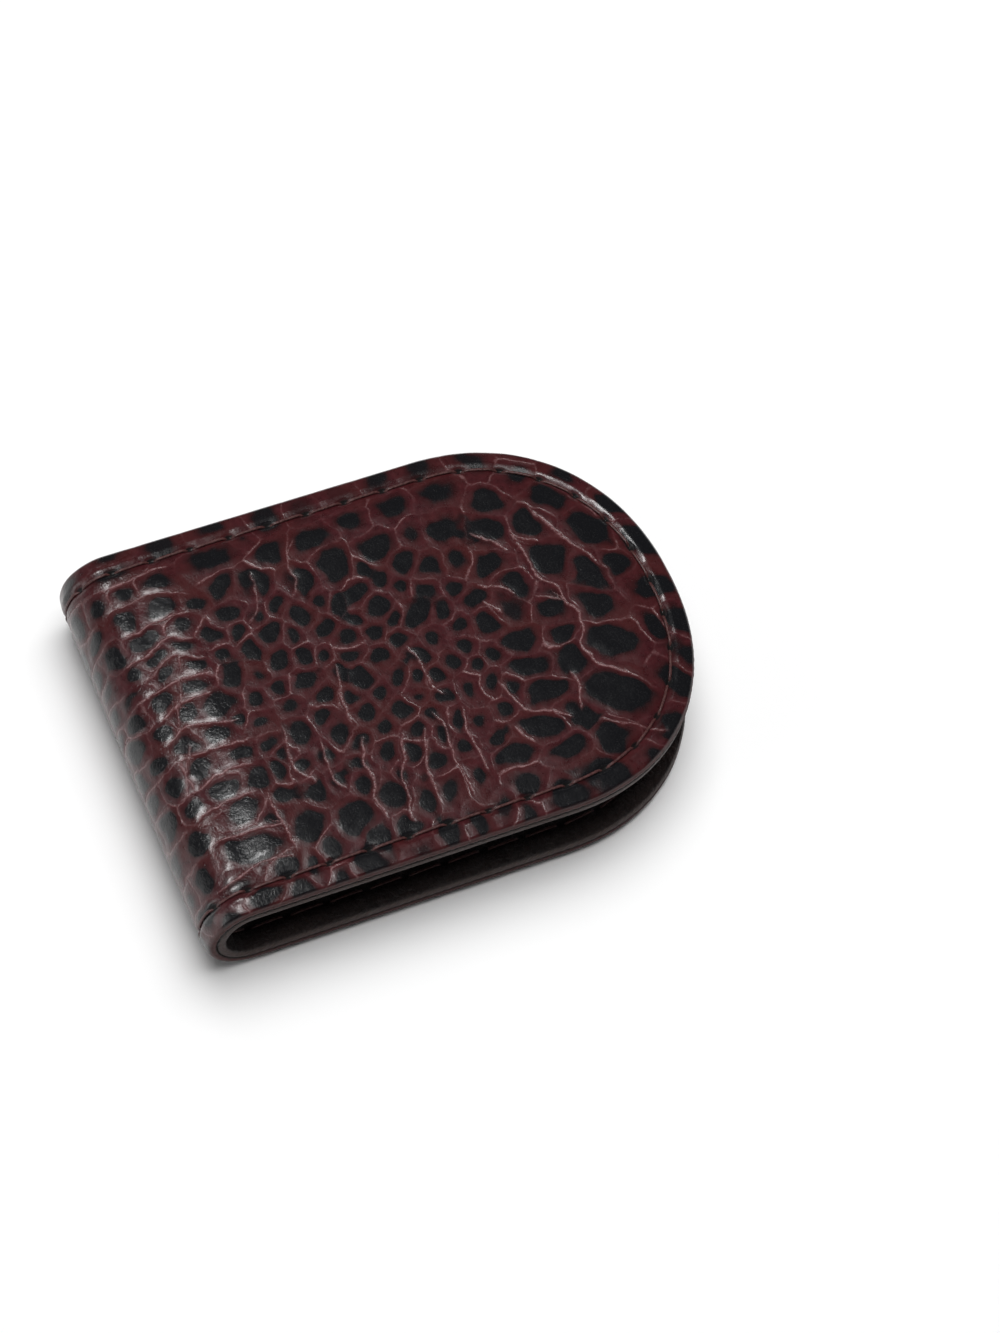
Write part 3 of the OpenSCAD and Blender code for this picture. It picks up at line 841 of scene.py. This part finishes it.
def cover_material():
    T = Tree("embossed_cover_leather")
    spot, edge, hole, vein = T.mask("mask")
    line, tone, depth, _ = T.mask("mask2")
    f0, f1, f2, fd = T.mask("net")
    v = T.strip_coords()
    big = T.noise(v, 0.16, 3.0)
    mid = T.noise(v, 1.1, 4.0)
    fine = T.noise(v, 6.0, 3.0)
    bead = T.noise(v, 1.9, 2.0, 0.6)
    # thin creases exactly on the borders between scales
    near = T.math("MINIMUM", T.math("ABSOLUTE", f0), T.math("MINIMUM", T.math("ABSOLUTE", f1), T.math("ABSOLUTE", f2)))
    near = T.math("ADD", near, T.math("MULTIPLY", T.math("SUBTRACT", fine, 0.5), 0.05))
    c1 = T.math("MULTIPLY", T.ramp(near, 0.02, 0.17, 1.0, 0.0), vein)
    far = T.math("ABSOLUTE", fd)
    far = T.math("ADD", far, T.math("MULTIPLY", T.math("SUBTRACT", fine, 0.5), 0.06))
    c2 = T.math("MULTIPLY", T.ramp(far, 0.03, 0.20, 1.0, 0.0), line)
    crease = T.math("MULTIPLY", T.math("MAXIMUM", c1, c2), T.ramp(bead, 0.32, 0.6, 0.25, 1.0))
    vein_band_and_sheen = T.math("MULTIPLY", T.math("MAXIMUM", T.math("MULTIPLY", T.ramp(near, 0.0, 0.42, 1.0, 0.0), vein),
                                     T.math("MULTIPLY", T.ramp(far, 0.0, 0.5, 1.0, 0.0), line)), 1.0)
    ground = T.mix(T.ramp(mid, 0.3, 0.7), rgb(0.031, 0.0052, 0.0072), rgb(0.052, 0.0090, 0.0118))
    ground = T.mix(T.ramp(big, 0.35, 0.7, 0.0, 0.6), ground, rgb(0.048, 0.0092, 0.0084))
    shade = T.mix(T.ramp(mid, 0.3, 0.7), rgb(0.019, 0.0042, 0.0050), rgb(0.028, 0.0060, 0.0068))
    dark = T.mix(T.ramp(fine, 0.3, 0.75), rgb(0.0036, 0.0040, 0.0050), rgb(0.0070, 0.0066, 0.0080))
    # the dark centres fade out toward the rear edge and, less, toward the front edge
    uv_y = T.n("ShaderNodeUVMap", uv_map="strip")
    sep_y = T.n("ShaderNodeSeparateXYZ"); T.link(uv_y.outputs[0], sep_y.inputs[0])
    y_mm = T.math("MULTIPLY", T.math("SUBTRACT", sep_y.outputs[1], 0.5), 160)
    fade = T.math("MULTIPLY", T.ramp(y_mm, 13, 22, 1.0, 0.62), T.ramp(y_mm, -23.5, -20.5, 0.80, 1.0))
    sp = T.math("ADD", T.math("MULTIPLY", spot, fade), T.math("MULTIPLY", T.math("SUBTRACT", fine, 0.5), 0.16))
    sp = T.math("ADD", sp, T.math("MULTIPLY", T.math("SUBTRACT", mid, 0.5), 0.14))
    col = T.mix(T.ramp(sp, 0.02, 0.52), ground, shade)
    sp = T.ramp(sp, 0.36, 0.66)
    col = T.mix(sp, col, dark)
    # painted highlight: a pale, beaded colour laid along the creases stands in for the light they catch
    painted_crease_highlight = T.mix(T.ramp(fine, 0.38, 0.62), rgb(0.105, 0.034, 0.037), rgb(0.34, 0.205, 0.208))
    # painted sheen: a lighter red band laid along the veins, whose mask also shapes the relief
    col = T.mix(T.math("MULTIPLY", vein_band_and_sheen, 0.35), col, rgb(0.080, 0.0150, 0.0145))
    col = T.mix(T.math("MULTIPLY", crease, 0.76), col, painted_crease_highlight)
    # needle holes are painted near black as painted shade inside them; the cut edge is dyed dark red with a fibrous
    # grain
    hd = T.math("ADD", hole, T.math("MULTIPLY", T.math("SUBTRACT", fine, 0.5), 0.5))
    col = T.mix(T.ramp(hd, 0.75, 1.3, 0.97, 0.0), col, rgb(0.0022, 0.0015, 0.0015))
    fib = T.noise(T.strip_coords(3.0, 3.0), 1.6, 5.0, 0.65)
    cut = T.mix(T.ramp(fib, 0.3, 0.7), rgb(0.016, 0.0018, 0.0018), rgb(0.062, 0.0085, 0.0070))
    # the cut edge turns darker towards the side where it meets the lining
    cut = T.mix(T.ramp(depth, 0.72, 0.98, 0.0, 0.9), cut, rgb(0.004, 0.0020, 0.0020))
    col = T.mix(edge, col, cut)
    T.link(col, T.b.inputs["Base Color"])
    # waxed scales shine a little more than the ground between them
    r = T.math("ADD", T.math("MULTIPLY", sp, -0.03), 0.29)
    r = T.math("ADD", r, T.math("MULTIPLY", T.math("SUBTRACT", mid, 0.5), 0.14))
    r = T.math("ADD", r, T.math("MULTIPLY", edge, 0.42))
    r = T.math("ADD", r, T.ramp(hd, 0.8, 1.5, 0.6, 0.0), clamp=True)
    T.link(r, T.b.inputs["Roughness"])
    T.b.inputs["IOR"].default_value = 1.46
    T.link(T.math("MULTIPLY", T.math("SUBTRACT", 1.0, edge), 0.20), T.b.inputs["Coat Weight"])
    T.b.inputs["Coat Roughness"].default_value = 0.16
    # bump: the creases, hair-fine furrows round the fold and small pores
    f1_ = T.ramp(T.voronoi(T.strip_coords(1.0, 0.5), 2.6), 0.0, 0.16)
    f2_ = T.noise(T.strip_coords(1.0, 0.6), 5.5, 3.0, 0.6)
    uv = T.n("ShaderNodeUVMap", uv_map="strip")
    sx = T.n("ShaderNodeSeparateXYZ"); T.link(uv.outputs[0], sx.inputs[0])
    s_abs = T.math("ABSOLUTE", T.math("MULTIPLY", T.math("SUBTRACT", sx.outputs[0], 0.5), 160))
    wr = T.math("ABSOLUTE", T.math("SUBTRACT", T.noise(T.strip_coords(1.0, 0.75), 1.5, 3.0, 0.6, 0.6), 0.5))
    wr = T.math("MULTIPLY", T.ramp(wr, 0.0, 0.10), T.ramp(s_abs, 19, 11, 0.003, 0.011))
    hgt = T.math("ADD", T.math("MULTIPLY", f1_, 0.004), T.math("MULTIPLY", f2_, 0.0065))
    hgt = T.math("ADD", hgt, wr)
    hgt = T.math("ADD", hgt, T.math("MULTIPLY", crease, -0.055))
    hgt = T.math("ADD", hgt, T.math("MULTIPLY", T.math("SUBTRACT", vein_band_and_sheen, crease), 0.020))
    T.link(T.bump(hgt, 1.0, 1.0), T.b.inputs["Normal"])
    return T.m


def lining_material():
    T = Tree("smooth_lining_leather")
    _, edge, hole, _2 = T.mask("mask")
    crease, _3, depth, _4 = T.mask("mask2")
    v = T.strip_coords()
    mid = T.noise(v, 0.9, 4.0)
    big = T.noise(v, 0.11, 4.0, 0.6)
    fine = T.noise(v, 7.0, 3.0)
    cell = T.voronoi(v, 1.9)
    hair = T.math("ABSOLUTE", T.math("SUBTRACT", T.noise(T.strip_coords(1.0, 0.35), 0.55, 4.0, 0.65, 0.8), 0.5))
    col = T.mix(T.ramp(mid, 0.3, 0.7), rgb(0.0060, 0.0036, 0.0036), rgb(0.0150, 0.0085, 0.0080))
    col = T.mix(T.ramp(big, 0.42, 0.68, 0.0, 0.7), col, rgb(0.0240, 0.0140, 0.0125))
    col = T.mix(T.ramp(cell, 0.0, 0.11, 0.75, 0.0), col, rgb(0.0030, 0.0018, 0.0018))
    col = T.mix(T.ramp(hair, 0.0, 0.012, 0.45, 0.0), col, rgb(0.0420, 0.0270, 0.0240))
    # painted shade: the lining is darkened in the wrinkle valleys
    col = T.mix(T.math("MULTIPLY", crease, 0.5), col, rgb(0.005, 0.003, 0.003))
    # painted shade: the needle holes are painted near black
    col = T.mix(T.ramp(hole, 0.7, 1.3, 0.9, 0.0), col, rgb(0.002, 0.0015, 0.0015))
    # the cut edge: a fibrous raw-edge brown lighter than the lining, partly its own colour and partly a painted rim
    # highlight
    fib = T.noise(T.strip_coords(3.0, 3.0), 1.8, 5.0, 0.65)
    cut = T.mix(T.ramp(fib, 0.3, 0.7), rgb(0.012, 0.0045, 0.0038), rgb(0.048, 0.0215, 0.0160))
    # the cut edge turns darker towards the side where it meets the cover
    cut = T.mix(T.ramp(depth, 0.70, 0.96, 0.0, 0.9), cut, rgb(0.004, 0.0020, 0.0020))
    col = T.mix(edge, col, cut)
    T.link(col, T.b.inputs["Base Color"])
    r = T.math("ADD", T.math("MULTIPLY", T.math("SUBTRACT", big, 0.5), 0.5), 0.44)
    r = T.math("ADD", r, T.math("MULTIPLY", edge, 0.15), clamp=True)
    T.link(r, T.b.inputs["Roughness"])
    T.b.inputs["IOR"].default_value = 1.45
    hgt = T.math("ADD", T.math("MULTIPLY", T.ramp(cell, 0.0, 0.20), 0.045), T.math("MULTIPLY", fine, 0.020))
    hgt = T.math("ADD", hgt, T.math("MULTIPLY", T.ramp(hair, 0.0, 0.03), 0.02))
    T.link(T.bump(hgt, 1.0, 1.0), T.b.inputs["Normal"])
    return T.m


def object_coords(T, scale):
    tc = T.n("ShaderNodeTexCoord")
    mp = T.n("ShaderNodeVectorMath", operation="MULTIPLY")
    T.link(tc.outputs["Object"], mp.inputs[0])
    mp.inputs[1].default_value = (scale, scale, scale)
    return mp.outputs[0]


def thread_material():
    T = Tree("waxed_thread")
    v = object_coords(T, 1000)
    n = T.noise(v, 3.0, 4.0)
    f = T.noise(v, 14.0, 2.0)
    col = T.mix(T.ramp(n, 0.3, 0.7), rgb(0.035, 0.0100, 0.0100), rgb(0.085, 0.0330, 0.0310))
    T.link(col, T.b.inputs["Base Color"])
    T.link(T.ramp(n, 0.2, 0.8, 0.34, 0.50), T.b.inputs["Roughness"])
    T.link(T.bump(f, 0.6, 0.02), T.b.inputs["Normal"])
    return T.m


def board_material():
    T = Tree("stiffening_board")
    v = object_coords(T, 1000)
    n = T.noise(v, 0.7, 5.0, 0.65)
    f = T.noise(v, 6.0, 4.0, 0.7)
    col = T.mix(T.ramp(n, 0.3, 0.7), rgb(0.22, 0.145, 0.080), rgb(0.34, 0.24, 0.145))
    col = T.mix(T.ramp(f, 0.5, 0.75, 0.0, 0.5), col, rgb(0.14, 0.09, 0.055))
    T.link(col, T.b.inputs["Base Color"])
    T.b.inputs["Roughness"].default_value = 0.85
    T.link(T.bump(f, 0.6, 0.04), T.b.inputs["Normal"])
    return T.m


def magnet_material():
    T = Tree("nickel_plated_magnet")
    v = object_coords(T, 1000)
    n = T.noise(v, 0.8, 4.0)
    f = T.noise(v, 9.0, 3.0)
    T.link(T.mix(T.ramp(n, 0.3, 0.7), rgb(0.52, 0.51, 0.49), rgb(0.64, 0.63, 0.61)), T.b.inputs["Base Color"])
    T.b.inputs["Metallic"].default_value = 1.0
    T.link(T.ramp(n, 0.25, 0.75, 0.2, 0.38), T.b.inputs["Roughness"])
    T.link(T.bump(f, 0.3, 0.01), T.b.inputs["Normal"])
    return T.m


M_COVER, M_LINING, M_THREAD, M_BOARD, M_MAGNET = cover_material(), lining_material(), thread_material(), board_material(), magnet_material()
for ob in (cover_flap, cover_back):
    ob.data.materials.append(M_COVER)
for ob in (lining_flap, lining_back):
    ob.data.materials.append(M_LINING)
for ob in (needle_flap, needle_back, bobbin_flap, bobbin_back):
    ob.data.materials.append(M_THREAD)
for name, mat in (("back_board", M_BOARD), ("flap_board", M_BOARD), ("back_rear_magnet", M_MAGNET), ("back_front_magnet", M_MAGNET),
                  ("flap_rear_magnet", M_MAGNET), ("flap_front_magnet", M_MAGNET)):
    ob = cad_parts[name]
    if not ob.data.materials:
        ob.data.materials.append(mat)
    for i in range(len(ob.material_slots)):
        ob.material_slots[i].material = mat

# ------------------------------------------------------------------ transforms baked, CAD stand-ins hidden
# Both halves of each layer turn over the same stretch of the fold; here their transforms are baked and the CAD pieces
# they stand in for are hidden.
for ob in (cover_back, lining_back, needle_back, bobbin_back):
    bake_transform(ob)
for ob in (cover_flap, lining_flap, needle_flap, bobbin_flap):
    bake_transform(ob)
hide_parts("back_cover", "spine_cover")
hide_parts("flap_cover")
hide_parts("back_lining", "spine_lining")
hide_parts("flap_lining")
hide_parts("back_needle_thread", "spine_needle_thread")
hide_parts("flap_needle_thread")
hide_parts("back_bobbin_thread", "spine_bobbin_thread")
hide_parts("flap_bobbin_thread")


# ------------------------------------------------------------------ floor, light and camera
def stage():
    """A white floor that curves up into a low wall all round."""
    verts, faces = [], []
    prof = [(0.0, 0.0), (0.25, 0.0), (0.7, 0.0)]
    for i in range(1, 13):
        a = math.radians(90 * i / 12 * 0.62)
        prof.append((0.7 + 0.9 * math.sin(a), 0.9 * (1 - math.cos(a))))
    n = 96
    verts.append((0, 0, 0))
    for r, z in prof[1:]:
        for j in range(n):
            a = 2 * math.pi * j / n
            verts.append((r * math.cos(a), r * math.sin(a), z))
    for j in range(n):
        faces.append((0, 1 + j, 1 + (j + 1) % n))
    for i in range(len(prof) - 2):
        for j in range(n):
            a, b = 1 + i * n + j, 1 + i * n + (j + 1) % n
            faces.append((a, a + n, b + n, b))
    me = bpy.data.meshes.new("floor")
    me.from_pydata(verts, [], faces)
    me.polygons.foreach_set("use_smooth", np.ones(len(me.polygons), bool))
    ob = bpy.data.objects.new("floor", me)
    bpy.context.scene.collection.objects.link(ob)
    T = Tree("floor_paper")
    v = object_coords(T, 1)
    T.link(T.mix(T.noise(v, 3.0, 2.0), rgb(0.90, 0.90, 0.90), rgb(0.93, 0.93, 0.93)), T.b.inputs["Base Color"])
    T.b.inputs["Roughness"].default_value = 0.9
    T.b.inputs["Specular IOR Level"].default_value = 0.1
    ob.data.materials.append(T.m)


stage()


def area(name, loc, target, size, power, color=(1, 1, 1)):
    d = bpy.data.lights.new(name, "AREA")
    d.shape = "RECTANGLE"; d.size, d.size_y = size; d.energy = power; d.color = color
    ob = bpy.data.objects.new(name, d)
    ob.location = loc
    ob.rotation_mode = "QUATERNION"
    ob.rotation_quaternion = (Vector(target) - Vector(loc)).to_track_quat("-Z", "Y")
    bpy.context.scene.collection.objects.link(ob)
    return ob


sheen = area("softbox_sheen", (-0.175, 0.165, 0.68), (0, 0, 0), (0.18, 0.15), 2.2)
sheen.visible_diffuse = False
area("softbox_overhead", (-0.12, -0.14, 0.80), (0, 0, 0), (0.30, 0.30), 1.0)
area("softbox_left", (-0.95, 0.0, 0.35), (0, 0, 0), (0.5, 0.4), 1.6)
key = area("softbox_key", (0.16, 0.20, 0.90), (0, 0, 0), (0.90, 0.90), 10.5)
key.visible_glossy = False

world = bpy.data.worlds.new("studio")
bpy.context.scene.world = world
world.use_nodes = True
world.node_tree.nodes["Background"].inputs[0].default_value = (1, 1, 1, 1)
world.node_tree.nodes["Background"].inputs[1].default_value = 0.04

scene = bpy.context.scene
scene.view_settings.view_transform = "Standard"
scene.view_settings.look = "None"
scene.view_settings.exposure = 0.0

# camera: azimuth -28.8 degrees, elevation 57.9 degrees, rolled 7.2 degrees, 445 mm away with a long lens
az, el, roll = math.radians(-28.776), math.radians(57.941), math.radians(7.246)
back = np.array([math.sin(az) * math.cos(el), -math.cos(az) * math.cos(el), math.sin(el)])
xc_ = np.cross([0, 0, 1.0], back); xc_ /= np.linalg.norm(xc_)
yc_ = np.cross(back, xc_)
cx_, cy_ = math.cos(roll) * xc_ + math.sin(roll) * yc_, -math.sin(roll) * xc_ + math.cos(roll) * yc_
Rm = np.stack([cx_, cy_, back])
tvec = np.array([-41.535, -14.372, -445.095])
eye = -Rm.T @ tvec + np.array([X_OUT, 0, SWELL])
cam = bpy.data.cameras.new("camera")
cam.lens = 8.893 * 445.095 / 1333 * 36
cam.sensor_width = 36
cam.sensor_fit = "AUTO"
cam.clip_start, cam.clip_end = 0.01, 20
cam_ob = bpy.data.objects.new("camera", cam)
mat = Matrix([[Rm[0][i], Rm[1][i], Rm[2][i], eye[i] * MM] for i in range(3)] + [[0, 0, 0, 1]])
cam_ob.matrix_world = mat
scene.collection.objects.link(cam_ob)
scene.camera = cam_ob
